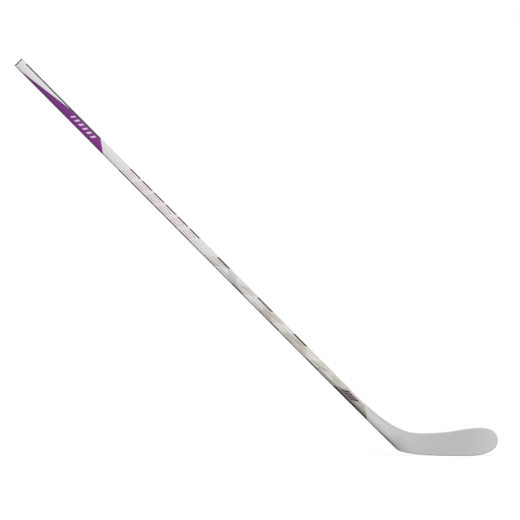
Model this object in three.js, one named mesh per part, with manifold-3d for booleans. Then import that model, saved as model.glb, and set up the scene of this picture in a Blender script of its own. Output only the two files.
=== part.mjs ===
// A left-handed composite ice hockey stick at its real size, in millimetres, +Z up, in playing pose.
// The sole lies on the ice line, the toe points to +X and the forehand face looks to -Y.
// The origin is the middle of the top hand's grip, on the axis of the shaft.
import * as THREE from "three";
import { mergeVertices } from "three/addons/utils/BufferGeometryUtils.js";
import Module from "manifold-3d";

const wasm = await Module();
wasm.setup();
const { degToRad, lerp, smoothstep } = THREE.MathUtils;

// The whole stick
const stickLength = 1524; // from the butt end to the heel, along the shaft
const heelToIce = 39; // from the heel on along the shaft's axis to the ice line
const shaftRise = degToRad(45.2); // of the shaft above the ice line
const handToButt = 60; // from the middle of the top hand's grip to the butt end
const bondGap = 0.3; // bond line between pieces that are glued or moulded together

// Shaft tube
const shaftWidth = 28.5;
const shaftDepth = 20;
const shaftCorner = 5;
const shaftWall = 1.5;
const jointToIce = 240; // from the joint of shaft and blade along the axis to the ice line

// Butt plug
const flangeThickness = 3;
const flangeEdge = 0.8; // rounding of the flange's outer edge
const stemLength = 38;
const stemWall = 2;
const ribCount = 3;
const ribStart = 5; // from the end of the stem to the first rib
const ribPitch = 10;
const ribLength = 2.5;
const ribHeight = 0.6;

// Tenon
const tenonLength = 75; // inside the shaft
const tenonWall = 1.8;
const tenonFloor = 6; // solid bottom of the box, above the joint
const rootLength = 45; // of the solid tongue inside the hosel
const rootCorner = 1;

// Edge of the heel and sole. A pull says how far an end's direction holds, as a share of the span.
const backTaper = 1.55; // how far the back of the hosel draws in from the line of the shaft
const heelToBend = 40; // from the ice line up the axis to where the back starts to round
const heelPullUp = 0.155;
const heelPullSole = 0.25;
const soleStart = 117.5; // from the shaft's axis on the ice line to the flat of the sole
const soleFlat = 42;

// Edge of the throat, top and toe
const throatPullUp = 0.68;
const throatPullTop = 0.205;
const throatReach = 41.4; // from the shaft's axis on the ice line to the lowest place of the top edge
const throatHeight = 64.4;
const topPullHeel = 0.54;
const topPullToe = 0.335;
const toeTopReach = 204.5;
const toeTopHeight = 79.8;
const toePullTop = 0.55;
const toePullUpper = 0.32;
const toeReach = 248.8;
const toeTipHeight = 45;
const toePullLower = 0.41;
const toePullSole = 0.235;

// Section of hosel and blade
const heelThickness = 8.6;
const toeThickness = 6.4;
const thinRun = 269; // along the sole edge from the joint to where the hosel is as thin as the blade
const bladeCorner = 2.2;
const hoselSkin = 1.6;
const bladeSkin = 1;
const edgeBand = 5;
const toeFlat = 8; // short flat at the tip of the toe

// Rounding of the hosel's back, where both faces draw in. The runs go along the sole edge.
const backRound = 16; // its reach from the back edge across the face
const backDrop = 4.2; // how far a face draws in at the back edge
const backFullRun = 129; // from the joint to where it is full
const backFadeStart = 159;
const backFadeEnd = 279;

// Curve of the blade
const curveStart = 20; // from the shaft's axis on the ice line
const curveDepth = 14; // of the toe towards the forehand side
const faceOpening = degToRad(5); // lean of the face at the toe, away from the forehand side

// Cores and rib
const hoselCoreLength = 229; // along the sole edge from the joint to the end of the hosel core
const toeBlockRun = 55; // along the sole edge from the start of the toe block to the tip
const midRib = 2.4;

// Fineness of the faceted surfaces
const cornerSteps = 6; // round a quarter turn, and even
const stationStep = 8;
const faceSteps = 8; // across a face
const seatSteps = 20; // across the inside of a skin, which follows the cores closely
const coreSteps = 4;

const arcDivisions = cornerSteps / 2; // a path draws an arc with twice as many steps
const leastCorner = 0.3; // of the round corners inside the shaft
const overcut = 1; // of a cut beyond the face that it opens
const shaftCos = Math.cos(shaftRise);
const shaftSin = Math.sin(shaftRise);
const buttToIce = stickLength + heelToIce;
const jointToButt = buttToIce - jointToIce;
const tubeLength = jointToButt - flangeThickness - bondGap;
const boreWidth = shaftWidth - 2 * shaftWall;
const boreDepth = shaftDepth - 2 * shaftWall;
const boreCorner = Math.max(shaftCorner - shaftWall, leastCorner);

const shaftPaint = new THREE.MeshStandardMaterial({ color: 0xd6d4d3, roughness: 0.35, metalness: 0.1 });
const bladePaint = new THREE.MeshStandardMaterial({ color: 0xc0bfbd, roughness: 0.5, metalness: 0.05 });
const edgePaint = new THREE.MeshStandardMaterial({ color: 0x8f8e8d, roughness: 0.5, metalness: 0 });
const bareLaminate = new THREE.MeshStandardMaterial({ color: 0x2a2b2d, roughness: 0.55, metalness: 0 });
const plugPlastic = new THREE.MeshStandardMaterial({ color: 0x232225, roughness: 0.6, metalness: 0 });
const foam = new THREE.MeshStandardMaterial({ color: 0xe6dfc8, roughness: 0.9, metalness: 0 });

function piece(name, geometry, material) {
  const mesh = new THREE.Mesh(geometry, material);
  mesh.name = name;
  return mesh;
}

// Rounded rectangle about the origin, on a shape or on the path of a hole.
function roundedRectangle(path, width, depth, corner) {
  const x = width / 2 - corner;
  const y = depth / 2 - corner;
  path.moveTo(width / 2, -y);
  path.absarc(x, y, corner, 0, Math.PI / 2);
  path.absarc(-x, y, corner, Math.PI / 2, Math.PI);
  path.absarc(-x, -y, corner, Math.PI, Math.PI * 1.5);
  path.absarc(x, -y, corner, Math.PI * 1.5, Math.PI * 2);
  return path;
}

// A straight bar of rounded section that runs up the shaft from z = low. Its edges may be rounded.
function bar(width, depth, corner, low, length, edge = 0) {
  const shape = roundedRectangle(new THREE.Shape(), width - 2 * edge, depth - 2 * edge, corner - edge);
  const settings = {
    depth: length - 2 * edge,
    curveSegments: arcDivisions,
    bevelEnabled: edge > 0,
    bevelSize: edge,
    bevelThickness: edge,
    bevelSegments: 2,
  };
  return new THREE.ExtrudeGeometry(shape, settings).translate(0, 0, low + edge);
}

function solid(geometry) {
  geometry.deleteAttribute("normal");
  geometry.deleteAttribute("uv");
  const merged = mergeVertices(geometry);
  const vertProperties = merged.attributes.position.array;
  const triVerts = new Uint32Array(merged.index.array);
  return new wasm.Manifold(new wasm.Mesh({ numProp: 3, vertProperties, triVerts }));
}

function geometryOf(body) {
  const { vertProperties, triVerts } = body.getMesh();
  const geometry = new THREE.BufferGeometry();
  geometry.setAttribute("position", new THREE.BufferAttribute(vertProperties, 3));
  geometry.setIndex(new THREE.BufferAttribute(triVerts, 1));
  geometry.computeVertexNormals();
  return geometry;
}

// A bar that keeps a given distance to the bore of the shaft all round.
function boreBar(inset, low, length) {
  const corner = Math.max(boreCorner - inset, leastCorner);
  return bar(boreWidth - 2 * inset, boreDepth - 2 * inset, corner, low, length);
}

// Hollow tube of the shaft, from the joint up to the flange of the plug.
function shaftTube() {
  const shape = roundedRectangle(new THREE.Shape(), shaftWidth, shaftDepth, shaftCorner);
  shape.holes.push(roundedRectangle(new THREE.Path(), boreWidth, boreDepth, boreCorner));
  const settings = { depth: tubeLength, curveSegments: arcDivisions, bevelEnabled: false };
  return new THREE.ExtrudeGeometry(shape, settings);
}

// Plug of the butt end: a flange over the tube's end, and a hollow stem whose ribs grip the bore.
function buttPlug() {
  const stemSink = bondGap + ribHeight;
  const stemLow = jointToButt - flangeThickness - stemLength;
  const barInBore = (inset, low, length) => solid(boreBar(inset, low, length));
  const flange = bar(shaftWidth, shaftDepth, shaftCorner, tubeLength + bondGap, flangeThickness, flangeEdge);
  let plug = solid(flange).add(barInBore(stemSink, stemLow, stemLength + flangeThickness / 2));
  for (let rib = 0; rib < ribCount; rib++) {
    plug = plug.add(barInBore(bondGap, stemLow + ribStart + ribPitch * rib, ribLength));
  }
  const hollow = barInBore(stemSink + stemWall, stemLow - overcut, stemLength + overcut);
  return geometryOf(plug.subtract(hollow));
}

// Block that fills the box of the tenon.
function tenonCore() {
  const low = tenonFloor + bondGap;
  return boreBar(bondGap + tenonWall + bondGap, low, tenonLength - low);
}

// Point in the plane of the stick: up the shaft's axis from the ice line, and across it to the front.
function shaftPoint(up, across) {
  return new THREE.Vector2(shaftSin * across - shaftCos * up, shaftSin * up + shaftCos * across);
}

// Smooth curve that leaves one point and reaches another along given directions.
function sweep(from, leaving, leavingPull, to, arriving, arrivingPull) {
  const span = from.distanceTo(to);
  const first = from.clone().addScaledVector(leaving, span * leavingPull);
  const second = to.clone().addScaledVector(arriving, -span * arrivingPull);
  return new THREE.CubicBezierCurve(from, first, second, to);
}

function edgeOf(...curves) {
  const edge = new THREE.CurvePath();
  curves.forEach((curve) => edge.add(curve));
  return edge;
}

const toToe = new THREE.Vector2(1, 0);
const toIce = new THREE.Vector2(0, -1);
const toeTip = new THREE.Vector2(toeReach, toeTipHeight);
const backTop = shaftPoint(jointToIce, -shaftWidth / 2);
const backEnd = shaftPoint(heelToBend, backTaper - shaftWidth / 2);
const downBack = backEnd.clone().sub(backTop).normalize();
const flatStart = new THREE.Vector2(soleStart, 0);
const flatEnd = new THREE.Vector2(soleStart + soleFlat, 0);
const soleEdge = edgeOf(
  new THREE.LineCurve(backTop, backEnd),
  sweep(backEnd, downBack, heelPullUp, flatStart, toToe, heelPullSole),
  new THREE.LineCurve(flatStart, flatEnd),
  sweep(flatEnd, toToe, toePullSole, toeTip, toIce.clone().negate(), toePullLower),
);

const frontTop = shaftPoint(jointToIce, shaftWidth / 2);
const downShaft = new THREE.Vector2(shaftCos, -shaftSin);
const throatLow = new THREE.Vector2(throatReach, throatHeight);
const toeTop = new THREE.Vector2(toeTopReach, toeTopHeight);
const topEdge = edgeOf(
  sweep(frontTop, downShaft, throatPullUp, throatLow, toToe, throatPullTop),
  sweep(throatLow, toToe, topPullHeel, toeTop, toToe, topPullToe),
  sweep(toeTop, toToe, toePullTop, toeTip, toIce, toePullUpper),
);

// Stations across hosel and blade are given by the same share of both edges, from joint to toe tip.
const soleRun = soleEdge.getLength();
const topRun = topEdge.getLength();
const gapShare = bondGap / Math.min(soleRun, topRun);
const endShare = 1 - toeFlat / (soleRun + topRun);
const rootShare = rootLength / soleRun;
const hoselCoreShare = hoselCoreLength / soleRun;
const toeBlockShare = 1 - toeBlockRun / soleRun;

function station(share) {
  const low = soleEdge.getPoint(share);
  const high = topEdge.getPoint(share);
  const run = share * soleRun;
  const thinned = smoothstep(run, 0, thinRun);
  const halfDepth = lerp(shaftDepth, lerp(heelThickness, toeThickness, share), thinned) / 2;
  const skin = lerp(hoselSkin, bladeSkin, thinned);
  const corner = Math.max(lerp(shaftCorner, bladeCorner, thinned), skin + 2 * bondGap);
  const drop = backDrop * smoothstep(run, 0, backFullRun) * (1 - smoothstep(run, backFadeStart, backFadeEnd));
  return {
    middle: low.clone().lerp(high, 0.5),
    across: high.clone().sub(low).normalize(),
    halfWidth: low.distanceTo(high) / 2,
    halfDepth,
    drop,
    frontCorner: Math.min(corner, halfDepth),
    backCorner: Math.min(corner, halfDepth - drop),
    skin,
    coreWidth: low.distanceTo(high) / 2 - edgeBand - bondGap,
  };
}

function shaftStation(aboveJoint) {
  return { middle: shaftPoint(jointToIce + aboveJoint, 0), across: new THREE.Vector2(shaftSin, shaftCos) };
}

// Place in space of a point of a section, given across it and through its depth.
function place({ middle, across }, point) {
  const x = middle.x + across.x * point.x;
  const z = middle.y + across.y * point.x;
  const run = Math.max(0, (x - curveStart) / (toeReach - curveStart));
  const curve = -curveDepth * run ** 2 + (z - toeTipHeight) * Math.tan(faceOpening) * run;
  return new THREE.Vector3(x, point.y + curve, z);
}

// A closed skin over sections of equally many points, each with its station, and a cap at each end.
// Outlines run counterclockwise, with across to the right and depth up, seen on the way to the toe.
function loft(sections) {
  const sides = sections[0].outline.length;
  const points = sections.flatMap(({ at, outline }) => outline.map((point) => place(at, point)));
  const faces = [];
  for (let ring = 0; ring < sections.length - 1; ring++) {
    for (let side = 0; side < sides; side++) {
      const a = ring * sides + side;
      const b = ring * sides + ((side + 1) % sides);
      faces.push(a, b + sides, b, a, a + sides, b + sides);
    }
  }
  const last = points.length - sides;
  const capOf = ({ outline }) => THREE.ShapeUtils.triangulateShape(outline, []);
  capOf(sections.at(0)).forEach(([a, b, c]) => faces.push(a, b, c));
  capOf(sections.at(-1)).forEach(([a, b, c]) => faces.push(last + c, last + b, last + a));
  const geometry = new THREE.BufferGeometry().setFromPoints(points);
  geometry.setIndex(faces);
  geometry.computeVertexNormals();
  return geometry;
}

// Shares of the stations between two ends, on steps that all pieces have in common.
function sharesBetween(start, end) {
  const step = stationStep / soleRun;
  const least = 0.2; // of a step, so that no sliver is left at an end
  const shares = [start];
  for (let count = Math.ceil(start / step + least); count < end / step - least; count++) {
    shares.push(count * step);
  }
  shares.push(end);
  return shares;
}

function sectionAt(share, outlineOf) {
  const at = station(share);
  return { at, outline: outlineOf(at) };
}

function loftBetween(start, end, outlineOf) {
  return loft(sharesBetween(start, end).map((share) => sectionAt(share, outlineOf)));
}

// Half the depth of a section at a place across it, which is less towards the back of the hosel.
function faceLevel(at, across) {
  const fromBack = at.halfWidth + across;
  return at.halfDepth - at.drop * Math.max(0, 1 - fromBack / backRound) ** 2;
}

function innerLevel(at, across) {
  return faceLevel(at, across) - at.skin;
}

function coreLevel(at, across) {
  return innerLevel(at, across) - bondGap;
}

// Points across a section at the level that a function gives, on one side of the middle plane.
function levelLine(at, depthSide, levelOf, from, to, steps) {
  const points = [];
  for (let step = 0; step <= steps; step++) {
    const across = lerp(from, to, step / steps);
    points.push(new THREE.Vector2(across, depthSide * levelOf(at, across)));
  }
  return points;
}

function cornerOf(at, acrossSide) {
  return acrossSide > 0 ? at.frontCorner : at.backCorner;
}

// Part of one round corner of a section, between two angles.
function cornerArc(at, acrossSide, depthSide, from, to) {
  const corner = cornerOf(at, acrossSide);
  const points = [];
  for (let step = 0; step <= cornerSteps; step++) {
    const angle = lerp(from, to, step / cornerSteps);
    const across = acrossSide * (at.halfWidth - corner) + corner * Math.cos(angle);
    const depth = depthSide * (faceLevel(at, across) - corner) + corner * Math.sin(angle);
    points.push(new THREE.Vector2(across, depth));
  }
  return points;
}

// Angle at which a round corner passes a given depth below the face.
function angleBelowFace(at, acrossSide, below) {
  const corner = cornerOf(at, acrossSide);
  return Math.asin(Math.max(corner - below, 0) / corner);
}

function skinOutline(at, depthSide) {
  const turn = depthSide > 0 ? 0 : Math.PI;
  const faceAngle = turn + Math.PI / 2;
  const start = turn + angleBelowFace(at, depthSide, at.skin);
  const end = turn + Math.PI - angleBelowFace(at, -depthSide, at.skin);
  const rising = cornerArc(at, depthSide, depthSide, start, faceAngle);
  const falling = cornerArc(at, -depthSide, depthSide, faceAngle, end);
  const face = levelLine(at, depthSide, faceLevel, rising.at(-1).x, falling[0].x, faceSteps);
  const seat = levelLine(at, depthSide, innerLevel, falling.at(-1).x, rising[0].x, seatSteps);
  return [...rising, ...face.slice(1, -1), ...falling, ...seat.slice(1, -1)];
}

// Round outer edge between the two skins, on the front or back of the section.
function outerEdge(at, acrossSide) {
  const angle = angleBelowFace(at, acrossSide, at.skin + bondGap);
  const turn = acrossSide > 0 ? 0 : Math.PI;
  return [
    ...cornerArc(at, acrossSide, -acrossSide, turn - angle, turn),
    ...cornerArc(at, acrossSide, acrossSide, turn, turn + angle),
  ];
}

function bandOutline(at, acrossSide) {
  const inner = acrossSide * (at.halfWidth - edgeBand);
  const depth = acrossSide * coreLevel(at, inner);
  return [new THREE.Vector2(inner, -depth), ...outerEdge(at, acrossSide), new THREE.Vector2(inner, depth)];
}

function blockOutline(at) {
  return [...outerEdge(at, 1), ...outerEdge(at, -1)];
}

function coreOutline(at, low, high) {
  const under = levelLine(at, -1, coreLevel, low, high, coreSteps);
  const over = levelLine(at, 1, coreLevel, high, low, coreSteps);
  return [...under, ...over];
}

// Laminate tenon: an open box in the shaft and a solid tongue in the hosel.
function tenon() {
  const outline = (halfWidth, halfDepth, corner) => {
    const path = roundedRectangle(new THREE.Path(), 2 * halfWidth, 2 * halfDepth, corner);
    return path.getPoints(arcDivisions).slice(0, -1);
  };
  const inBore = (inset) => {
    const corner = Math.max(boreCorner - inset, leastCorner);
    return outline(boreWidth / 2 - inset, boreDepth / 2 - inset, corner);
  };
  const tongue = (at) => {
    const depth = at.halfDepth - at.skin - bondGap;
    const fitted = ({ x, y }) => new THREE.Vector2(x, (y / depth) * coreLevel(at, x));
    return outline(at.coreWidth, depth, rootCorner).map(fitted);
  };
  return loft([
    { at: shaftStation(tenonFloor), outline: inBore(bondGap + tenonWall) },
    { at: shaftStation(tenonLength), outline: inBore(bondGap + tenonWall) },
    { at: shaftStation(tenonLength), outline: inBore(bondGap) },
    { at: shaftStation(bondGap), outline: inBore(bondGap) },
    { at: shaftStation(bondGap), outline: tongue(station(0)) },
    ...sharesBetween(gapShare, rootShare).map((share) => sectionAt(share, tongue)),
  ]);
}

const bandEnd = toeBlockShare - gapShare;
const bladeCoreStart = hoselCoreShare + gapShare;
const besideRib = midRib / 2 + bondGap;
const skin = (side) => loftBetween(gapShare, endShare, (at) => skinOutline(at, side));
const band = (side) => loftBetween(gapShare, bandEnd, (at) => bandOutline(at, side));
const bladeFilling = (low, high) =>
  loftBetween(bladeCoreStart, bandEnd, (at) => coreOutline(at, low(at), high(at)));
const hoselCore = loftBetween(rootShare + gapShare, hoselCoreShare, (at) =>
  coreOutline(at, -at.coreWidth, at.coreWidth),
);
const lowerCore = bladeFilling((at) => -at.coreWidth, () => -besideRib);
const upperCore = bladeFilling(() => besideRib, (at) => at.coreWidth);
const rib = bladeFilling(() => -midRib / 2, () => midRib / 2);

const shaft = new THREE.Group();
const jointPlace = shaftPoint(jointToIce, 0);
shaft.position.set(jointPlace.x, 0, jointPlace.y);
shaft.rotation.y = shaftRise - Math.PI / 2;
shaft.add(
  piece("shaft_tube", shaftTube(), shaftPaint),
  piece("butt_plug", buttPlug(), plugPlastic),
  piece("tenon_core", tenonCore(), foam),
);

const blade = new THREE.Group();
blade.add(
  piece("blade_tenon", tenon(), bareLaminate),
  piece("forehand_skin", skin(-1), bladePaint),
  piece("backhand_skin", skin(1), bladePaint),
  piece("sole_edge_band", band(-1), edgePaint),
  piece("top_edge_band", band(1), edgePaint),
  piece("toe_block", loftBetween(toeBlockShare, endShare, blockOutline), edgePaint),
  piece("hosel_core", hoselCore, foam),
  piece("lower_core", lowerCore, foam),
  piece("upper_core", upperCore, foam),
  piece("mid_rib", rib, bareLaminate),
);

// The origin goes to the hand's grip.
const stick = new THREE.Group();
const handPlace = shaftPoint(buttToIce - handToButt, 0);
stick.position.set(-handPlace.x, 0, -handPlace.y);
stick.add(shaft, blade);

export default stick;
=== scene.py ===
# A left-handed composite ice hockey stick in playing pose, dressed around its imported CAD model.
# Metres in the model's own frame: +X runs from heel to toe, +Y away from the forehand face and +Z up
# from the ice. The origin is the middle of the top hand's grip, on the axis of the shaft.
import math
from bisect import bisect_left
from itertools import accumulate, pairwise
from types import SimpleNamespace

import bmesh
import bpy
from mathutils import Matrix, Vector
from mathutils.geometry import interpolate_bezier


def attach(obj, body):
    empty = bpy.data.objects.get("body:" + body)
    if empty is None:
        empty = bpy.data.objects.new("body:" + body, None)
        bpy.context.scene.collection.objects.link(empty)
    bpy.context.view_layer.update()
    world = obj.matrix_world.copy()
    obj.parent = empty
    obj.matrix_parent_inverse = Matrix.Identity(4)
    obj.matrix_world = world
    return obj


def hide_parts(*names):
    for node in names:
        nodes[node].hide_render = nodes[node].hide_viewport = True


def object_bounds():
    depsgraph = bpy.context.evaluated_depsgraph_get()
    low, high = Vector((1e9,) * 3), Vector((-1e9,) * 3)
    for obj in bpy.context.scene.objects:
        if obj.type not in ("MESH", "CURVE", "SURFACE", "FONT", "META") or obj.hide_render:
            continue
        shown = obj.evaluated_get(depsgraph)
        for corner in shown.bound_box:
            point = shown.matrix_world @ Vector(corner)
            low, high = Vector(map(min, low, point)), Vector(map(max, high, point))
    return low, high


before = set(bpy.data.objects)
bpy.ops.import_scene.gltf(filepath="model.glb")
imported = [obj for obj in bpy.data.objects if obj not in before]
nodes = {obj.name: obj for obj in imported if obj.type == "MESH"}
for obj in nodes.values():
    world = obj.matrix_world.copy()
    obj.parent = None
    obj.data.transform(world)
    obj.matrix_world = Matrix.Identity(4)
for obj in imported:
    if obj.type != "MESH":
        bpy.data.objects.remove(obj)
cad_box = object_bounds()
scene = bpy.context.scene
scene.view_settings.view_transform = "Standard"


# ---- Studio ----
# A product photographer's table: a wide sheet of pale paper under the stick, an even white room, one
# large soft box overhead and a weaker one behind, which lights the back alone. The camera stands far
# back with a long lens, square on to the stick.
LENS = 200  # mm
SENSOR = 36  # mm
PICTURE_WIDTH = 520 * 0.002818  # metres of the stick's plane across the picture's 520 pixels
PICTURE_CENTRE = (0.63896, -0.51484)  # along X and Z
PAPER_SIZE = 60
PAPER_GREY = 0.2
ROOM_LIGHT = 0.17
LAMPS = {  # direction, width in degrees, light, and whether it shows in mirrors
    "soft_box": ((0, -0.64, 0.77), 50, 1.1, True),
    "back_fill": ((0, 0.98, 0.2), 20, 0.6, False),
}


def add(tree, kind, inputs=None, **settings):
    """Adds a node with its settings. An input is a number, a colour, a socket or a node."""
    node = tree.nodes.new(kind)
    for name, value in settings.items():
        setattr(node, name, value)
    sockets = [socket for socket in node.inputs if socket.enabled]
    for key, value in (inputs or {}).items():
        socket = sockets[key] if isinstance(key, int) else next(s for s in sockets if s.name == key)
        if isinstance(value, bpy.types.Node):
            value = next(output for output in value.outputs if output.enabled)
        if isinstance(value, bpy.types.NodeSocket):
            tree.links.new(value, socket)
        else:
            socket.default_value = value
    return node


def seen_directly(tree):
    """1 for the camera, mirrors and glass, and 0 for the light that falls on things."""
    path = add(tree, "ShaderNodeLightPath")
    seen = add(tree, "ShaderNodeMath", {0: path.outputs["Is Camera Ray"], 1: path.outputs["Is Glossy Ray"]})
    return add(tree, "ShaderNodeMath", {0: seen, 1: path.outputs["Is Transmission Ray"]}, use_clamp=True)


room = bpy.data.worlds.new("white_room")
room.use_nodes = True
tree = room.node_tree
strength = add(
    tree, "ShaderNodeMapRange", {"Value": seen_directly(tree), "To Min": ROOM_LIGHT, "To Max": 1}
)
tree.nodes["Background"].inputs["Color"].default_value = (1, 1, 1, 1)
tree.links.new(strength.outputs[0], tree.nodes["Background"].inputs["Strength"])
scene.world = room

paper_material = bpy.data.materials.new("pale_seamless_paper")
paper_material.use_nodes = True
tree = paper_material.node_tree
tree.nodes.clear()
glow = add(
    tree, "ShaderNodeMapRange", {"Value": seen_directly(tree), "To Min": 0, "To Max": 1 - PAPER_GREY}
)
paper_shader = add(
    tree,
    "ShaderNodeAddShader",
    {
        0: add(tree, "ShaderNodeBsdfDiffuse", {"Color": (PAPER_GREY, PAPER_GREY, PAPER_GREY, 1)}),
        1: add(tree, "ShaderNodeEmission", {"Color": (1, 1, 1, 1), "Strength": glow}),
    },
)
add(tree, "ShaderNodeOutputMaterial", {"Surface": paper_shader})

sheet = bmesh.new()
bmesh.ops.create_grid(
    sheet,
    x_segments=1,
    y_segments=1,
    size=PAPER_SIZE / 2,
    matrix=Matrix.Translation((0, 0, cad_box[0].z)),
)
paper_mesh = bpy.data.meshes.new("paper")
sheet.to_mesh(paper_mesh)
paper_mesh.materials.append(paper_material)
paper = bpy.data.objects.new("paper", paper_mesh)
scene.collection.objects.link(paper)

for name, (direction, width, light, mirrored) in LAMPS.items():
    lamp_data = bpy.data.lights.new(name, "SUN")
    lamp_data.angle = math.radians(width)
    lamp_data.energy = light * math.pi  # a white face turned to it then renders at its light
    lamp = bpy.data.objects.new(name, lamp_data)
    lamp.rotation_euler = Vector(direction).to_track_quat("Z", "Y").to_euler()
    lamp.visible_glossy = mirrored
    scene.collection.objects.link(lamp)

camera_data = bpy.data.cameras.new("camera")
camera_data.lens = LENS
camera_data.sensor_width = SENSOR
camera = bpy.data.objects.new("camera", camera_data)
camera.location = (PICTURE_CENTRE[0], -PICTURE_WIDTH * LENS / SENSOR, PICTURE_CENTRE[1])
camera.rotation_euler = (math.pi / 2, 0, 0)
scene.collection.objects.link(camera)
scene.camera = camera


# ---- Shaft ----
# The upper tube: carbon-fibre laminate wrapped on a mandrel and cured in a mould, which gives the wide
# faces a slight crown. It is lacquered silver-white, dressed with printed film and cleared all over.
STICK_LENGTH = 1.524  # from the butt end to the heel, along the shaft
HEEL_TO_ICE = 0.039  # from the heel on along the shaft's axis to the ice line
HAND_TO_BUTT = 0.060
SHAFT_RISE = math.radians(45.2)
SHAFT_WIDTH = 0.0285
SHAFT_DEPTH = 0.020
SHAFT_CORNER = 0.005
SHAFT_WALL = 0.0015
SHAFT_CROWN = 0.12  # share of the depth that is lost towards the narrow sides
JOINT_TO_ICE = 0.240
FLANGE_THICKNESS = 0.003
BOND_GAP = 0.0003
CORNER_STEPS = 10
FACE_STEPS = 8
HARD_EDGE = math.radians(35)  # bend from which an edge looks hard

butt_to_ice = STICK_LENGTH + HEEL_TO_ICE
up_shaft = Vector((-math.cos(SHAFT_RISE), 0, math.sin(SHAFT_RISE)))
across_shaft = Vector((math.sin(SHAFT_RISE), 0, math.cos(SHAFT_RISE)))
ice_point = up_shaft * (HAND_TO_BUTT - butt_to_ice)
shaft_turn = SHAFT_RISE - math.pi / 2
onto_shaft = Matrix.Translation(ice_point) @ Matrix.Rotation(shaft_turn, 4, "Y")


def corner_centre(point):
    """Point that a vertex of the shaft's rounded rectangle is offset from, in its section."""
    reach_x = SHAFT_WIDTH / 2 - SHAFT_CORNER
    reach_y = SHAFT_DEPTH / 2 - SHAFT_CORNER
    return Vector((max(-reach_x, min(reach_x, point.x)), max(-reach_y, min(reach_y, point.y)), point.z))


def wrap(profile, closed):
    """Wraps a profile of insets and heights round the shaft's section. Only its outside is crowned."""
    bm = bmesh.new()
    outline = bmesh.ops.create_grid(
        bm,
        x_segments=1,
        y_segments=1,
        size=0.5,
        matrix=Matrix.Diagonal((SHAFT_WIDTH, SHAFT_DEPTH, 1, 1)),
    )
    bmesh.ops.bevel(
        bm,
        geom=outline["verts"],
        offset=SHAFT_CORNER,
        offset_type="OFFSET",
        segments=CORNER_STEPS,
        profile=0.5,
        affect="VERTICES",
        material=-1,
    )
    bmesh.ops.delete(bm, geom=bm.faces[:], context="FACES_ONLY")
    wide = [edge for edge in bm.edges if edge.calc_length() > SHAFT_WIDTH / 2]
    bmesh.ops.subdivide_edges(bm, edges=wide, cuts=FACE_STEPS - 1)
    first = bm.edges[:]
    ring = first
    insets = {}
    for (inset, height), after in pairwise([*profile, None]):
        for vert in {vert for edge in ring for vert in edge.verts}:
            out = (vert.co - corner_centre(vert.co)).normalized()
            vert.co = corner_centre(vert.co) + out * (SHAFT_CORNER - inset)
            vert.co.z = height
            insets[vert] = inset
        if after:
            made = bmesh.ops.extrude_edge_only(bm, edges=ring)["geom"]
            ring = [part for part in made if isinstance(part, bmesh.types.BMEdge)]
            ring = [edge for edge in ring if edge.is_boundary]
    for vert, inset in insets.items():
        crown = SHAFT_CROWN * max(0, 1 - inset / SHAFT_WALL)
        vert.co.y *= 1 - crown * (vert.co.x / (SHAFT_WIDTH / 2)) ** 2
    if closed:
        bmesh.ops.bridge_loops(bm, edges=[*first, *ring])
    else:
        bmesh.ops.contextual_create(bm, geom=first)
        bmesh.ops.contextual_create(bm, geom=ring)
    bmesh.ops.recalc_face_normals(bm, faces=bm.faces[:])
    bmesh.ops.transform(bm, matrix=onto_shaft, verts=bm.verts[:])
    return bm


def piece(name, bm, material):
    """Makes an object of a mesh that is already in its place, smooth but for its hard edges."""
    mesh = bpy.data.meshes.new(name)
    bm.to_mesh(mesh)
    bm.free()
    mesh.shade_smooth()
    mesh.set_sharp_from_angle(angle=HARD_EDGE)
    mesh.materials.append(material)
    made = bpy.data.objects.new(name, mesh)
    scene.collection.objects.link(made)
    return made


tube_top = butt_to_ice - FLANGE_THICKNESS - BOND_GAP
tube_profile = [(0, JOINT_TO_ICE), (0, tube_top), (SHAFT_WALL, tube_top), (SHAFT_WALL, JOINT_TO_ICE)]

# The print of the film, in mm in the shaft's own frame: across to the front, and up from the ice. A slant
# is how far the line of an edge drops for each mm that it runs across to the front.
FAR = 5000  # beyond every edge
SILVER_WHITE = "#e6e5e4"
PEARL_SHADE = "#dcdad9"
FRONT_PRINT = 10.5  # across, where the print of the narrow front side starts on the round corner
BACK_PRINT = -11  # and that of the back side
BACK_LINE = -12.4  # and the black that the back side keeps from the cells down to the block
FRONT_PAINTED_SHADE = (7, 12.5)  # across, over which a painted shade turns the film greyer round the front corner
PAINTED_SHADE_GREY = "#b5b4b3"
SIDE_BLACK = "#19181b"

WEDGE_TIP = (7.5, 1446)  # slant and height of the long edge of the purple wedge
WEDGE_CUT = (-1.39, 1228.2)  # and of the cut that ends it
WEDGE_LINE = 1.4
PURPLE = "#781a80"
PURPLE_DEEP = "#661f6f"
LILAC = "#dcc3df"
SIDE_PURPLE = "#1f0823"
SIDE_PURPLE_TOP = 1543
WIDE_PURPLE_TOP = 1355  # below it, the dark front side reaches further onto the face
WIDE_PURPLE = 9.8
DASH_ROW = (1262, 1348)
DASH_SLANT = 0.7
DASH_PITCH = 16
DASH_WIDTH = 7
DASH_PLACE = (-4, 7)  # across

CELL_ROW = (860, 1145)
CELL_SLANT = 0.8
CELL_PITCH = 47.5
CELL_WIDTH = 39
CELL_REACH = 11
CELL_STROKE = 3.2
CELL_INSET = 7
ROSE = "#f8ecec"
CELL_GREY = "#cdc6c9"
CELL_HEART = "#ddd3d6"

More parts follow.
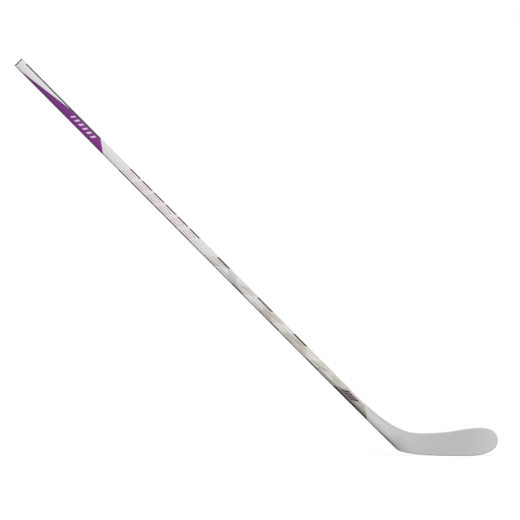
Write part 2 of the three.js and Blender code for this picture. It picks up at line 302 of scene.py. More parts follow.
FACET_TOP = 795
FACET_SLANT = 1.6
BAR_ON = {"front": "#ff0000", "back": "#00ff00", "": "#000000"}  # which narrow side is black, as a mask
FRONT_BAR = 9.9  # across, where the black of the two sides starts
BACK_BAR = -10.2
FACETS = (  # length, colours of the upper and the lower end, and the side with a black bar
    (46, "#d6d2cd", "#c0b9b2", "front"),
    (74, "#e0dfe8", "#d0d0da", ""),
    (40, "#c0b9b0", "#d6d2cc", "back"),
    (58, "#e6e4e2", "#d5d1cd", "front"),
    (52, "#bdb4a9", "#cdc7be", ""),
    (36, "#e5e3e0", "#dad6d2", "back"),
    (48, "#c5beb4", "#bab2a7", "front"),
    (62, "#d2cdc7", "#dedbd6", ""),
    (42, "#cac4bc", "#bbb3aa", "back"),
    (64, "#dad7d3", "#c9c3bc", ""),
)
FACET_ROW = (FACET_TOP - sum(facet[0] for facet in FACETS), FACET_TOP)
FACET_CRISP = 0.0008  # share of the row over which one facet turns into the next
STREAK_SLANT = 9
STREAK_PITCH = 118
STREAK_LENGTH = 42
STREAK_WHITE = "#e8e6e3"
CROSSING_SLANT = -1.1
CROSSING_PITCH = 139
CROSSING_LENGTH = 34
CROSSING_TAUPE = "#b9b0a7"
STRIPES = ((-8, -4.5, 131, 76), (2.6, 4.4, 163, 78))  # limits across, pitch, length
STRIPE_TAUPE = "#a59d94"
FAINT = 0.5  # cover of print that lets its ground through, and of the painted shades

BLOCK_TOP = 273
BLOCK_CUT = (-1.39, 172.4)  # slant and height of the cut where block and film end
BLOCK_LIGHT = "#b7aea6"
BLOCK_DARK = "#574f49"
BLOCK_SHADE = (-14, 4)  # across, from the dark to the light side
BLOCK_EDGE = 11  # across, where the block stops short of the front side
BLOCK_LINE = -8.8  # and where its black back line starts
BLOCK_TAIL = (-7.5, 345)  # across and height to which the dark of its back runs on above it
BLOCK_BAR_ROW = (219, 265)
BLOCK_BAR_PITCH = 11.5
BLOCK_BAR_WIDTH = 8.8
BLOCK_BAR_PLACE = (-5.5, 8)  # across
BLOCK_BAR_PURPLE = "#2e0b2e"

PEARL_GRAIN = 2  # drawn this wide so that it shows, where real pearl is ten times finer
PEARL_DETAIL = 3.0
TOW_WIDTH = 2.5  # of the outer twill, which shows through the lacquer as a faint relief
TOW_SHARE = 0.25  # of that relief, where the orange peel of the clear coat makes the rest
PEEL_WIDTH = 1.5
PEEL_DETAIL = 2.0
RELIEF_DEPTH = 0.00003
CLEAR_ROUGHNESS = {"To Min": 0.36, "To Max": 0.48}
CLEAR_SPECULAR = 0.4
COAT_WEIGHT = 0.15  # of the grip coat over the film
COAT_ROUGHNESS = 0.2


def colour(code):
    """An sRGB hex value as linear red, green and blue, with an alpha of 1."""
    channels = [int(code[start : start + 2], 16) / 255 for start in (1, 3, 5)]
    return (*[c / 12.92 if c <= 0.04045 else ((c + 0.055) / 1.055) ** 2.4 for c in channels], 1)


def new_material(name):
    """A bare material, its node tree, and the place on the stick in the shaft's frame, in mm."""
    material = bpy.data.materials.new(name)
    material.use_nodes = True
    tree = material.node_tree
    tree.nodes.clear()
    place = add(
        tree,
        "ShaderNodeMapping",
        {
            "Vector": add(tree, "ShaderNodeTexCoord").outputs["Object"],
            "Location": ice_point,
            "Rotation": (0, shaft_turn, 0),
            "Scale": (0.001, 0.001, 0.001),
        },
        vector_type="TEXTURE",
    )
    return material, tree, place


def slanted(tree, place, slant):
    """Height up the shaft as edges of a given slant see it, which is even along each of them."""
    return add(tree, "ShaderNodeVectorMath", {0: place, 1: (slant, 0, 1)}, operation="DOT_PRODUCT")


def both(tree, mask, other):
    """Mask of what two masks share."""
    return add(tree, "ShaderNodeMath", {0: mask, 1: other}, operation="MULTIPLY")


def faint(tree, mask):
    """Weaker mask, for print that lets its ground through and for soft painted shades."""
    return both(tree, mask, FAINT)


def where(tree, *limits):
    """Mask of the place in which each of the given values lies between its two limits."""
    mask = 1
    for value, low, high in limits:
        span = {0: value, 1: (low + high) / 2, 2: (high - low) / 2}
        mask = both(tree, add(tree, "ShaderNodeMath", span, operation="COMPARE"), mask)
    return mask


def row_of_bars(tree, height, across, row, pitch, width, inset=0):
    """Mask of an even row of slanted bars, each drawn in by an inset all round."""
    value, low, high = across
    turn = add(tree, "ShaderNodeMath", {0: height, 1: row[0] + pitch, 2: row[0]}, operation="WRAP")
    return where(
        tree,
        (height, *row),
        (turn, row[0] + inset, row[0] + width - inset),
        (value, low + inset, high - inset),
    )


def layered(tree, ground, *layers):
    """Lays colours over a ground one after another, each in the place of its mask."""
    for mask, over in layers:
        over = colour(over) if isinstance(over, str) else over
        ground = add(tree, "ShaderNodeMix", {"Factor": mask, "A": ground, "B": over}, data_type="RGBA")
    return ground


def graded(tree, value, limits, first, last):
    """Colour that turns smoothly from one to another as a value goes from limit to limit."""
    share = add(
        tree,
        "ShaderNodeMapRange",
        {"Value": value, "From Min": limits[0], "From Max": limits[1]},
        interpolation_type="SMOOTHSTEP",
    )
    return layered(tree, colour(first), (share, last))


def growing(tree, value, limits):
    """Mask that grows smoothly as a value goes from limit to limit."""
    return graded(tree, value, limits, "#000000", "#ffffff")


def ramp_of_facets(tree, height, pick, interpolation):
    """Colour ramp down the row of facets, with two stops in each."""
    low, upper = FACET_ROW
    share = add(tree, "ShaderNodeMapRange", {"Value": height, "From Min": low, "From Max": upper})
    ramp = add(tree, "ShaderNodeValToRGB", {"Fac": share})
    ramp.color_ramp.interpolation = interpolation
    stops = ramp.color_ramp.elements
    stops.remove(stops[1])
    for facet in FACETS:
        lower = upper - facet[0]
        for end, code in zip((upper, lower), pick(facet)):
            inward = FACET_CRISP if end == lower else -FACET_CRISP
            stops.new((end - low) / (FACET_TOP - low) + inward).color = colour(code)
        upper = lower
    stops.remove(stops[0])
    return ramp


def printed_film(tree, place):
    """Colour of the lacquered and printed shaft, with a painted shade round its front corner, down to where
    the paint of the blade starts.
    """
    parts = add(tree, "ShaderNodeSeparateXYZ", {"Vector": place})
    across, height = parts.outputs["X"], parts.outputs["Z"]
    front = (across, FRONT_PRINT, FAR)
    back = (across, -FAR, BACK_PRINT)
    reach = (across, -CELL_REACH, CELL_REACH)

    # Silver-white lacquer with a fine pearl in it
    pearl = add(
        tree, "ShaderNodeTexNoise", {"Vector": place, "Scale": 1 / PEARL_GRAIN, "Detail": PEARL_DETAIL}
    )
    film = layered(tree, colour(SILVER_WHITE), (pearl, PEARL_SHADE))

    # Row of slanted cells, each a pale rose frame round a grey field with a smaller frame in it
    cell_height = slanted(tree, place, CELL_SLANT)
    cell = (CELL_ROW, CELL_PITCH, CELL_WIDTH)
    film = layered(
        tree,
        film,
        (row_of_bars(tree, cell_height, reach, *cell), ROSE),
        (row_of_bars(tree, cell_height, reach, *cell, CELL_STROKE), CELL_GREY),
        (row_of_bars(tree, cell_height, reach, *cell, CELL_INSET), ROSE),
        (row_of_bars(tree, cell_height, reach, *cell, CELL_INSET + CELL_STROKE / 2), CELL_HEART),
    )

    # Angular facets of beige, lilac and white, crossed by long pale streaks and thin taupe stripes
    facet_height = slanted(tree, place, FACET_SLANT)
    facets = ramp_of_facets(tree, facet_height, lambda facet: facet[1:3], "LINEAR")
    film = layered(tree, film, (where(tree, (facet_height, *FACET_ROW)), facets.outputs["Color"]))
    for slant, pitch, length, tint in (
        (STREAK_SLANT, STREAK_PITCH, STREAK_LENGTH, STREAK_WHITE),
        (CROSSING_SLANT, CROSSING_PITCH, CROSSING_LENGTH, CROSSING_TAUPE),
    ):
        bars = row_of_bars(tree, slanted(tree, place, slant), reach, FACET_ROW, pitch, length)
        film = layered(tree, film, (faint(tree, bars), tint))
    for low, high, pitch, length in STRIPES:
        bars = row_of_bars(tree, facet_height, (across, low, high), FACET_ROW, pitch, length)
        film = layered(tree, film, (faint(tree, bars), STRIPE_TAUPE))

    # Taupe block at the heel end, darker towards the back, with plain dark bars on it
    block = ((facet_height, -FAR, BLOCK_TOP), (slanted(tree, place, BLOCK_CUT[0]), BLOCK_CUT[1], FAR))
    taupe = graded(tree, across, BLOCK_SHADE, BLOCK_DARK, BLOCK_LIGHT)
    tail = where(tree, (across, -FAR, BLOCK_TAIL[0]), (facet_height, BLOCK_TOP, BLOCK_TAIL[1]))
    block_bars = row_of_bars(
        tree,
        facet_height,
        (across, *BLOCK_BAR_PLACE),
        BLOCK_BAR_ROW,
        BLOCK_BAR_PITCH,
        BLOCK_BAR_WIDTH,
    )
    film = layered(
        tree,
        film,
        (faint(tree, tail), BLOCK_DARK),
        (where(tree, (across, -FAR, BLOCK_EDGE), *block), taupe),
        (block_bars, BLOCK_BAR_PURPLE),
    )

    # Painted shade greying the front corner, and black along the narrow sides beside the cells, some facets
    # and the block
    sides = ramp_of_facets(tree, facet_height, lambda facet: (BAR_ON[facet[3]],) * 2, "CONSTANT")
    rims = add(
        tree,
        "ShaderNodeCombineXYZ",
        {
            "X": where(tree, (across, FRONT_BAR, FAR), (facet_height, *FACET_ROW)),
            "Y": where(tree, (across, -FAR, BACK_BAR), (facet_height, *FACET_ROW)),
        },
    )
    bars = add(tree, "ShaderNodeVectorMath", {0: sides.outputs["Color"], 1: rims}, operation="DOT_PRODUCT")
    film = layered(
        tree,
        film,
        (faint(tree, growing(tree, across, FRONT_PAINTED_SHADE)), PAINTED_SHADE_GREY),
        (row_of_bars(tree, cell_height, front, *cell), SIDE_BLACK),
        (row_of_bars(tree, cell_height, back, *cell), SIDE_BLACK),
        (bars, SIDE_BLACK),
        (where(tree, (across, -FAR, BLOCK_LINE), *block), SIDE_BLACK),
        (where(tree, (across, -FAR, BACK_LINE), (height, BLOCK_TOP, CELL_ROW[1])), SIDE_BLACK),
    )

    # Purple wedge towards the butt, with a lilac line along its cut and a row of short lilac bars
    cut_height = slanted(tree, place, WEDGE_CUT[0])
    above_cut = (cut_height, WEDGE_CUT[1], FAR)
    below_tip = (slanted(tree, place, WEDGE_TIP[0]), -FAR, WEDGE_TIP[1])
    purple = graded(tree, height, (WEDGE_CUT[1], SIDE_PURPLE_TOP), PURPLE, PURPLE_DEEP)
    dash_height = slanted(tree, place, DASH_SLANT)
    dashes = row_of_bars(tree, dash_height, (across, *DASH_PLACE), DASH_ROW, DASH_PITCH, DASH_WIDTH)
    return layered(
        tree,
        film,
        (where(tree, below_tip, (cut_height, WEDGE_CUT[1] - WEDGE_LINE, FAR)), LILAC),
        (where(tree, below_tip, above_cut), purple),
        (dashes, LILAC),
        (where(tree, front, above_cut, (height, -FAR, SIDE_PURPLE_TOP)), SIDE_PURPLE),
        (where(tree, (across, WIDE_PURPLE, FAR), above_cut, (height, -FAR, WIDE_PURPLE_TOP)), SIDE_PURPLE),
    )


def twill(tree, place, tow):
    """Two-by-two twill: 1 where a tow lies on top, for two tows in four, a step further in each row."""
    cell = add(tree, "ShaderNodeVectorMath", {0: place, 1: (1 / tow,) * 3}, operation="MULTIPLY")
    cell = add(tree, "ShaderNodeVectorMath", {0: cell}, operation="FLOOR")
    steps = add(tree, "ShaderNodeVectorMath", {0: cell, 1: (1, 1, 1)}, operation="DOT_PRODUCT")
    turn = add(tree, "ShaderNodeMath", {0: steps, 1: 4}, operation="FLOORED_MODULO")
    return add(tree, "ShaderNodeMath", {0: turn, 1: 1.5}, operation="GREATER_THAN")


def sprayed_relief(tree, place):
    """Orange peel of sprayed lacquer, and the same with the laminate's weave standing out through it."""
    peel = add(
        tree, "ShaderNodeTexNoise", {"Vector": place, "Scale": 1 / PEEL_WIDTH, "Detail": PEEL_DETAIL}
    )
    parts = {0: twill(tree, place, TOW_WIDTH), 1: TOW_SHARE, 2: peel}
    return peel, add(tree, "ShaderNodeMath", parts, operation="MULTIPLY_ADD")


# Satin clear grip coat over lacquer: a soft even shine with a slight orange peel, through which the
# weave of the laminate stands out by a few hundredths of a millimetre.
shaft_lacquer, tree, place = new_material("silver_white_lacquer_on_laminate")
peel, relief = sprayed_relief(tree, place)
shine = add(
    tree,
    "ShaderNodeBsdfPrincipled",
    {
        "Base Color": printed_film(tree, place),
        "Roughness": add(tree, "ShaderNodeMapRange", {"Value": peel, **CLEAR_ROUGHNESS}),
        "Specular IOR Level": CLEAR_SPECULAR,
        "Coat Weight": COAT_WEIGHT,
        "Coat Roughness": COAT_ROUGHNESS,
        "Normal": add(tree, "ShaderNodeBump", {"Height": relief, "Distance": RELIEF_DEPTH}),
    },
)
add(tree, "ShaderNodeOutputMaterial", {"Surface": shine})

shaft = piece("shaft", wrap(tube_profile, True), shaft_lacquer)
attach(shaft, "root")
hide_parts("shaft_tube")


# ---- Butt plug ----
# A moulded thermoplastic plug closes the butt end: a rounded flange, with a shallow groove moulded
# round its face, over a hollow stem whose ribs grip the bore of the shaft.
FLANGE_EDGE = 0.0008
EDGE_ARC_STEPS = 4
GROOVE_INSET = 0.0030
GROOVE_WIDTH = 0.0008  # a quarter of it for either sloping side
GROOVE_DEPTH = 0.0004
STEM_LENGTH = 0.038
STEM_WALL = 0.002
RIB_COUNT = 3
RIB_START = 0.005  # from the end of the stem to the first rib
RIB_PITCH = 0.010
RIB_LENGTH = 0.0025
RIB_HEIGHT = 0.0006

flange_low = butt_to_ice - FLANGE_THICKNESS
stem_low = flange_low - STEM_LENGTH
stem_inset = SHAFT_WALL + BOND_GAP + RIB_HEIGHT
profile = [(stem_inset + STEM_WALL, flange_low), (stem_inset + STEM_WALL, stem_low), (stem_inset, stem_low)]
for rib in range(RIB_COUNT):
    rib_low = stem_low + RIB_START + RIB_PITCH * rib
    profile.append((stem_inset, rib_low))
    profile.append((stem_inset - RIB_HEIGHT, rib_low))
    profile.append((stem_inset - RIB_HEIGHT, rib_low + RIB_LENGTH))
    profile.append((stem_inset, rib_low + RIB_LENGTH))
profile.append((stem_inset, flange_low))
for step in range(EDGE_ARC_STEPS + 1):
    angle = math.pi / 2 * step / EDGE_ARC_STEPS
    profile.append((FLANGE_EDGE * (1 - math.sin(angle)), flange_low + FLANGE_EDGE * (1 - math.cos(angle))))
for step in range(EDGE_ARC_STEPS + 1):
    angle = math.pi / 2 * step / EDGE_ARC_STEPS
    profile.append((FLANGE_EDGE * (1 - math.cos(angle)), butt_to_ice - FLANGE_EDGE * (1 - math.sin(angle))))
profile.append((GROOVE_INSET, butt_to_ice))
profile.append((GROOVE_INSET + GROOVE_WIDTH / 4, butt_to_ice - GROOVE_DEPTH))
profile.append((GROOVE_INSET + GROOVE_WIDTH * 3 / 4, butt_to_ice - GROOVE_DEPTH))
profile.append((GROOVE_INSET + GROOVE_WIDTH, butt_to_ice))

# Moulded black thermoplastic with a fine spark-eroded texture, which keeps its shine dull and even. The
# grains are drawn 0.6 mm wide, about four times their real size.
PLUG_BLACK = "#232224"
PLUG_WORN = "#2e2d2f"
GRAIN_WIDTH = 0.6
GRAIN_DETAIL = 2.0
GRAIN_DEPTH = 0.00005
PLUG_ROUGHNESS = {"To Min": 0.5, "To Max": 0.7}
plug_plastic, tree, place = new_material("moulded_black_thermoplastic")
grain = add(
    tree, "ShaderNodeTexNoise", {"Vector": place, "Scale": 1 / GRAIN_WIDTH, "Detail": GRAIN_DETAIL}
)
shine = add(
    tree,
    "ShaderNodeBsdfPrincipled",
    {
        "Base Color": layered(tree, colour(PLUG_BLACK), (grain, PLUG_WORN)),
        "Roughness": add(tree, "ShaderNodeMapRange", {"Value": grain, **PLUG_ROUGHNESS}),
        "Normal": add(tree, "ShaderNodeBump", {"Height": grain, "Distance": GRAIN_DEPTH}),
    },
)
add(tree, "ShaderNodeOutputMaterial", {"Surface": shine})

plug = piece("plug", wrap(profile, False), plug_plastic)
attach(plug, "root")
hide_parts("butt_plug")


# ---- Hosel and blade ----
# The shaft runs on into a hosel that flattens to the blade. Both are laminate faces over foam, closed
# by solid rails along the edges, and leave one mould together, so the paint runs over their seams.
BACK_TAPER = 0.00155  # how far the back of the hosel draws in from the line of the shaft
HEEL_TO_BEND = 0.040  # from the ice line up the axis to where the back starts to round
HEEL_PULLS = (0.155, 0.25)  # shares of a curve's span over which its two ends hold their directions
SOLE_START = 0.1175  # from the shaft's axis on the ice line to the flat of the sole
SOLE_FLAT = 0.042
THROAT_PULLS = (0.68, 0.205)
THROAT_LOW = (0.0414, 0.0644)
TOP_PULLS = (0.54, 0.335)
TOE_TOP = (0.2045, 0.0798)
UPPER_TOE_PULLS = (0.55, 0.32)
TOE_TIP = (0.2488, 0.045)
LOWER_TOE_PULLS = (0.235, 0.41)
HEEL_THICKNESS = 0.0086
TOE_THICKNESS = 0.0064
THIN_RUN = 0.269  # along the sole edge from the joint to where the hosel is as thin as the blade
BLADE_CORNER = 0.0022
BACK_ROUND = 0.016  # reach of the rounding of the hosel's back from its edge across the face
BACK_DROP = 0.0042  # how far a face draws in at the back edge
BACK_RUNS = ((0, 0.129), (0.159, 0.279))  # along the sole edge, over which it grows and fades again
SQUARE_RUN = 0.060  # from the joint to where what lies inside is measured square to the edges
HOSEL_SKIN = 0.0016
BLADE_SKIN = 0.001
EDGE_BAND = 0.005
TOE_BLOCK_RUN = 0.055  # along the sole edge from the start of the toe block to the tip
CURVE_START = 0.020  # from the shaft's axis on the ice line
CURVE_DEPTH = 0.014  # of the toe towards the forehand side
FACE_OPENING = math.radians(5)  # lean of the face at the toe, away from the forehand side
EDGE_FINENESS = 160
BLADE_STATIONS = 96
TOE_STATIONS = 40
TOE_CROWDING = 1.5  # above 1, the stations crowd towards the tip
ROUND_STEPS = 8
FACE_COLUMNS = 20
SAME_PLACE = 1e-6
NO_LENGTH = 1e-7


def in_plane(x, z):
    """Point of the stick's middle plane, from where the shaft's axis meets the ice line."""
    return Vector((x, 0, z))


def beside_axis(up, across):
    """Point of the middle plane at a height up the shaft's axis, and a distance across it."""
    return up_shaft * up + across_shaft * across


def sweep(start, leaving, end, arriving, pulls):
    """Smooth curve that leaves one point and reaches another along given directions."""
    span = (end - start).length
    first = start + leaving * span * pulls[0]
    second = end - arriving * span * pulls[1]
    return interpolate_bezier(start, first, second, end, EDGE_FINENESS)


def edge_of(*curves):
    """One polyline of several curves in a row, with the length run at each of its points."""
    points = [curves[0][0]]
    for curve in curves:
        points += curve[1:]
    return points, [0, *accumulate((b - a).length for a, b in pairwise(points))]


def along(edge, share):
    """Point of an edge at a share of its length, and its direction there."""
    points, lengths = edge
    run = lengths[-1] * share
    after = min(max(bisect_left(lengths, run), 1), len(points) - 1)
    part = (run - lengths[after - 1]) / (lengths[after] - lengths[after - 1])
    around = points[max(after - 2, 0)], points[min(after + 1, len(points) - 1)]
    return points[after - 1].lerp(points[after], part), (around[1] - around[0]).normalized()


to_toe = Vector((1, 0, 0))
to_ice = Vector((0, 0, -1))
back_top = beside_axis(JOINT_TO_ICE, -SHAFT_WIDTH / 2)
back_end = beside_axis(HEEL_TO_BEND, BACK_TAPER - SHAFT_WIDTH / 2)
flat_start = in_plane(SOLE_START, 0)
flat_end = in_plane(SOLE_START + SOLE_FLAT, 0)
toe_tip = in_plane(*TOE_TIP)
throat_low = in_plane(*THROAT_LOW)
toe_top = in_plane(*TOE_TOP)
sole_edge = edge_of(
    [back_top, back_end],
    sweep(back_end, (back_end - back_top).normalized(), flat_start, to_toe, HEEL_PULLS),
    [flat_start, flat_end],
    sweep(flat_end, to_toe, toe_tip, -to_ice, LOWER_TOE_PULLS),
)
top_edge = edge_of(
    sweep(beside_axis(JOINT_TO_ICE, SHAFT_WIDTH / 2), -up_shaft, throat_low, to_toe, THROAT_PULLS),
    sweep(throat_low, to_toe, toe_top, to_toe, TOP_PULLS),
    sweep(toe_top, to_toe, toe_tip, to_ice, UPPER_TOE_PULLS),
)
sole_run = sole_edge[1][-1]
toe_block_share = 1 - TOE_BLOCK_RUN / sole_run


def fade(value, low, high):
    """Smooth step from 0 at low to 1 at high."""
    step = min(max((value - low) / (high - low), 0), 1)
    return step * step * (3 - 2 * step)


def mix(a, b, share):
    """Number at a share of the way from one to another."""
    return a + (b - a) * share


def station(share):
    """Section across hosel or blade at the same share of both edges, from the joint to the toe."""
    low, low_way = along(sole_edge, share)
    high, high_way = along(top_edge, share)
    run = share * sole_run
    thinned = fade(run, 0, THIN_RUN)
    across = (high - low).normalized() if share < 1 else -to_ice
    turned = fade(run, 0, SQUARE_RUN)
    inward = Vector((-low_way.z, 0, low_way.x)), Vector((high_way.z, 0, -high_way.x))
    half_depth = mix(SHAFT_DEPTH, mix(HEEL_THICKNESS, TOE_THICKNESS, share), thinned) / 2
    drop = BACK_DROP * fade(run, *BACK_RUNS[0]) * (1 - fade(run, *BACK_RUNS[1]))
    corner = mix(SHAFT_CORNER, BLADE_CORNER, thinned)
    corners = (min(corner, half_depth - drop), min(corner, half_depth))
    skin = mix(HOSEL_SKIN, BLADE_SKIN, thinned)
    return SimpleNamespace(
        edges=(low, high),
        inward=(across.lerp(inward[0], turned).normalized(), (-across).lerp(inward[1], turned).normalized()),
        across=across,
        middle=(low + high) / 2,
        half_width=(high - low).length / 2,
        half_depth=half_depth,
        drop=drop,
        corners=corners,
        skin=skin,
        seams=[math.asin((radius - skin) / radius) for radius in corners],
        crown=SHAFT_CROWN * (1 - thinned),
    )


def inside_edge(at, side, distance):
    """Point of the middle plane at a distance in from one edge."""
    return at.edges[side] + at.inward[side] * distance


def at_level(at, point, face, below):
    """Gives a point of the middle plane its place at a distance below one face, crowned and curved."""
    from_back = (point - at.edges[0]).dot(at.across)
    level = at.half_depth - at.drop * max(0, 1 - from_back / BACK_ROUND) ** 2
    depth = face * (level - below)
    if at.crown:
        depth *= 1 - at.crown * ((point - at.middle).dot(at.across) / at.half_width) ** 2
    run = max(0, (point.x - CURVE_START) / (TOE_TIP[0] - CURVE_START))
    lean = (point.z - TOE_TIP[1]) * math.tan(FACE_OPENING) * run
    return ice_point + point + Vector((0, depth - CURVE_DEPTH * run**2 + lean, 0))


def round_edge(at, side, face, start, end):
    """Points on the rounding between an edge and a face, by angles up from the middle plane."""
    points = []
    for step in range(ROUND_STEPS + 1):
        angle = mix(start, end, step / ROUND_STEPS)
        point = inside_edge(at, side, at.corners[side] * (1 - math.cos(angle)))
        points.append(at_level(at, point, face, at.corners[side] * (1 - math.sin(angle))))
    return points


def face_line(at, start, end, face, below):
    """Points between two places across a section, at a distance below its face."""
    columns = [start.lerp(end, column / FACE_COLUMNS) for column in range(1, FACE_COLUMNS)]
    return [at_level(at, point, face, below) for point in columns]


def skin_outline(at, face):
    """Laminate face: its rounded outside from seam to seam, and its inner side a wall below."""
    flat = [inside_edge(at, side, at.corners[side]) for side in (0, 1)]
    seam = [inside_edge(at, side, at.corners[side] * (1 - math.cos(at.seams[side]))) for side in (0, 1)]
    return [
        *round_edge(at, 0, face, at.seams[0], math.pi / 2),
        *face_line(at, flat[0], flat[1], face, 0),
        *round_edge(at, 1, face, math.pi / 2, at.seams[1]),
        *face_line(at, seam[1], seam[0], face, at.skin),
    ]


def outer_edge(at, side):
    """Rounded edge of a rail between its seams with the two skins."""
    return [*round_edge(at, side, -1, at.seams[side], 0), *round_edge(at, side, 1, 0, at.seams[side])]


def band_outline(at, side):
    """Rail along one edge, between the two skins."""
    inner = [at_level(at, inside_edge(at, side, EDGE_BAND), face, at.skin) for face in (1, -1)]
    return [*outer_edge(at, side), *inner]


def toe_outline(at):
    """Solid toe, between the two skins from edge to edge."""
    return [*outer_edge(at, 0), *reversed(outer_edge(at, 1))]


def mould(shares, outline_of, *extra):
    """Closed solid through the same outline at every station, from a grid whose long sides meet."""
    rows = [outline_of(station(share), *extra) for share in shares]
    columns = len(rows[0])
    bm = bmesh.new()
    bmesh.ops.create_grid(bm, x_segments=len(rows) - 1, y_segments=columns, size=0.5)
    for vert in bm.verts:
        row = round((vert.co.x + 0.5) * (len(rows) - 1))
        column = round((vert.co.y + 0.5) * columns)
        vert.co = rows[row][column % columns]
    bmesh.ops.remove_doubles(bm, verts=bm.verts[:], dist=SAME_PLACE)
    bmesh.ops.dissolve_degenerate(bm, dist=NO_LENGTH, edges=bm.edges[:])
    bmesh.ops.holes_fill(bm, edges=[edge for edge in bm.edges if edge.is_boundary], sides=0)
    bmesh.ops.recalc_face_normals(bm, faces=bm.faces[:])
    return bm


blade_shares = [toe_block_share * step / BLADE_STATIONS for step in range(BLADE_STATIONS + 1)]
toe_shares = [
    1 - (1 - toe_block_share) * (1 - step / TOE_STATIONS) ** TOE_CROWDING for step in range(TOE_STATIONS + 1)
]
all_shares = [*blade_shares, *toe_shares[1:]]

# Satin silver-grey lacquer, sprayed over the moulded laminate: dull and even, with a fine pearl in it,
# and a little paler up the hosel. Painted light makes it paler towards the toe, and painted shade darkens
# the back of the hosel, round the heel and along the front edge down to the throat. Up the hosel the
# printed film of the shaft laps over it, down to the slanted cut.
BLADE_SILVER = "#bfbebc"
BLADE_PEARL = "#b7b6b4"
HOSEL_SILVER = "#d7d6d4"
HOSEL_PEARL = "#cfcecc"
HOSEL_FADE = (-75, 140)  # up the shaft from the ice, over which it turns paler
TOE_PAINTED_LIGHT = "#c7c6c4"
TOE_LIGHT_FADE = (150, 260)  # along the ice from the shaft's axis, over which a painted light makes it paler towards the toe
# Painted shade down the back of the hosel, where its rounding turns away from the lamp
RIM_PAINTED_SHADE = "#525150"
RIM_SHADE_SLANT = 0.05  # how far the painted shade on the back of the hosel narrows for each mm up the shaft
RIM_SHADE_FADE = (-1, -8)  # across, over which it thickens
RIM_SHADE_ENDS = (20, 60)  # and up the shaft, over which it starts
HEEL_PAINTED_SHADE = "#939291"
HEEL_SHADE_PLACE = (-10, 0, 46)  # middle of a soft painted shade that carries the rim's painted shade on round the heel
HEEL_SHADE_FADE = (48, 0)  # distance from there, over which it thickens
THROAT_PAINTED_SHADE = "#959492"
THROAT_SHADE_PLACE = (279, 0, 172)  # middle of the round that the front edge follows down to the throat
THROAT_SHADE_FADE = (270, 264)  # distance from there, over which a grey painted shade thickens towards that edge
THROAT_SHADE_ENDS = (20, 90)  # up the shaft, over which it starts
SATIN_ROUGHNESS = {"To Min": 0.42, "To Max": 0.54}
blade_lacquer, tree, place = new_material("satin_silver_grey_lacquer_on_laminate")
pearl = add(tree, "ShaderNodeTexNoise", {"Vector": place, "Scale": 1 / PEARL_GRAIN, "Detail": PEARL_DETAIL})
peel, relief = sprayed_relief(tree, place)
height = add(tree, "ShaderNodeSeparateXYZ", {"Vector": place}).outputs["Z"]
to_tip = (math.sin(SHAFT_RISE), 0, -math.cos(SHAFT_RISE))
reach = add(tree, "ShaderNodeVectorMath", {0: place, 1: to_tip}, operation="DOT_PRODUCT")
silver = layered(
    tree,
    graded(tree, height, HOSEL_FADE, BLADE_SILVER, HOSEL_SILVER),
    (pearl, graded(tree, height, HOSEL_FADE, BLADE_PEARL, HOSEL_PEARL)),
    # painted light: paler towards the toe, where the face turns up to the lamp
    (growing(tree, reach, TOE_LIGHT_FADE), TOE_PAINTED_LIGHT),
)
# Painted shade: a dark rim down the back of the hosel
rim_across = add(tree, "ShaderNodeVectorMath", {0: place, 1: (1, 0, RIM_SHADE_SLANT)}, operation="DOT_PRODUCT")
rim = both(tree, growing(tree, rim_across, RIM_SHADE_FADE), growing(tree, height, RIM_SHADE_ENDS))
# Painted shade round the heel, for the darker rounding there
from_heel = add(tree, "ShaderNodeVectorMath", {0: place, 1: HEEL_SHADE_PLACE}, operation="DISTANCE")
heel = faint(tree, growing(tree, from_heel, HEEL_SHADE_FADE))
# Painted shade along the rounded front edge, down to the throat
from_throat = add(tree, "ShaderNodeVectorMath", {0: place, 1: THROAT_SHADE_PLACE}, operation="DISTANCE")
throat = both(tree, growing(tree, from_throat, THROAT_SHADE_FADE), growing(tree, height, THROAT_SHADE_ENDS))
silver = layered(tree, silver, (rim, RIM_PAINTED_SHADE), (heel, HEEL_PAINTED_SHADE), (faint(tree, throat), THROAT_PAINTED_SHADE))
under_film = where(tree, (slanted(tree, place, BLOCK_CUT[0]), BLOCK_CUT[1], FAR))
shine = add(
    tree,
    "ShaderNodeBsdfPrincipled",
    {
        "Base Color": layered(tree, silver, (under_film, printed_film(tree, place))),
        "Roughness": add(tree, "ShaderNodeMapRange", {"Value": peel, **SATIN_ROUGHNESS}),
        "Normal": add(tree, "ShaderNodeBump", {"Height": relief, "Distance": RELIEF_DEPTH}),
    },
)
add(tree, "ShaderNodeOutputMaterial", {"Surface": shine})

for name, shares, outline_of, extra, replaced, slot in (
    ("forehand_face", all_shares, skin_outline, (-1,), "forehand_skin", "blade_paint"),
    ("backhand_face", all_shares, skin_outline, (1,), "backhand_skin", "blade_paint"),
    ("sole_rail", blade_shares, band_outline, (0,), "sole_edge_band", "edge_paint"),
    ("top_rail", blade_shares, band_outline, (1,), "top_edge_band", "edge_paint"),
    ("toe_end", toe_shares, toe_outline, (), "toe_block", "edge_paint"),
):
    moulded = piece(name, mould(shares, outline_of, *extra), blade_lacquer)
    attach(moulded, "root")
    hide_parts(replaced)


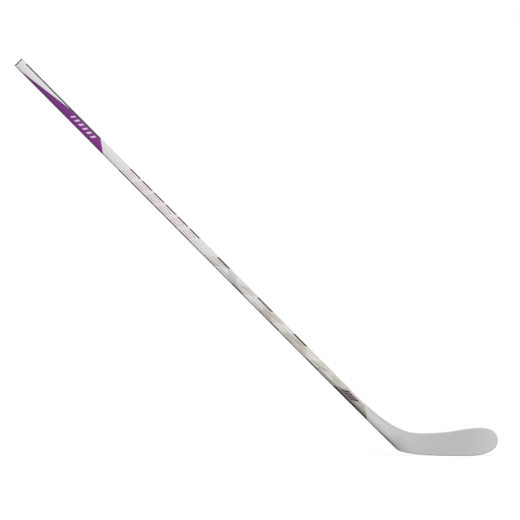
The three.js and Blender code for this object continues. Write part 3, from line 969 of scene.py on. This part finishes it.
# ---- Tenon, rib and cores ----
# Inside, a tenon of bare laminate joins shaft and hosel, and a laminate rib parts the two foam cores of
# the blade. They are cut or moulded to size and bonded in, and nothing of them shows from outside.
CARBON = "#1c1d1f"
# painted sheen on the tows that lie on top
CARBON_PAINTED_SHEEN = "#2c2d30"
FOAM = "#e4dcc4"
# painted shade in the cut cells' pits
FOAM_PORE_SHADE = "#cfc5a8"
PORE_WIDTH = 1.2
PORE_DEPTH = 0.0003
CARBON_ROUGHNESS = {"To Min": 0.5, "To Max": 0.34}
FOAM_ROUGHNESS = {"To Min": 0.95, "To Max": 0.8}

# Bare carbon twill in clear resin: black tows whose floats catch the light in turn, shown by a painted sheen
# of lighter grey on the tows on top and by a change of roughness
bare_laminate, tree, place = new_material("bare_carbon_twill_laminate")
weave = twill(tree, place, TOW_WIDTH)
shine = add(
    tree,
    "ShaderNodeBsdfPrincipled",
    {
        "Base Color": layered(tree, colour(CARBON), (weave, CARBON_PAINTED_SHEEN)),
        "Roughness": add(tree, "ShaderNodeMapRange", {"Value": weave, **CARBON_ROUGHNESS}),
        "Normal": add(tree, "ShaderNodeBump", {"Height": weave, "Distance": RELIEF_DEPTH}),
    },
)
add(tree, "ShaderNodeOutputMaterial", {"Surface": shine})

# Closed-cell rigid foam: dull cream, with cut cells as pits, darkened by painted shade, drawn twice their
# real width
core_foam, tree, place = new_material("closed_cell_rigid_foam")
pores = add(tree, "ShaderNodeTexVoronoi", {"Vector": place, "Scale": 1 / PORE_WIDTH}, feature="F1")
shine = add(
    tree,
    "ShaderNodeBsdfPrincipled",
    {
        "Base Color": layered(tree, colour(FOAM_PORE_SHADE), (pores, FOAM)),
        "Roughness": add(tree, "ShaderNodeMapRange", {"Value": pores, **FOAM_ROUGHNESS}),
        "Normal": add(tree, "ShaderNodeBump", {"Height": pores, "Distance": PORE_DEPTH}),
    },
)
add(tree, "ShaderNodeOutputMaterial", {"Surface": shine})

for name, material in (
    ("blade_tenon", bare_laminate),
    ("mid_rib", bare_laminate),
    ("tenon_core", core_foam),
    ("hosel_core", core_foam),
    ("lower_core", core_foam),
    ("upper_core", core_foam),
):
    for slot in nodes[name].material_slots:
        slot.material = material
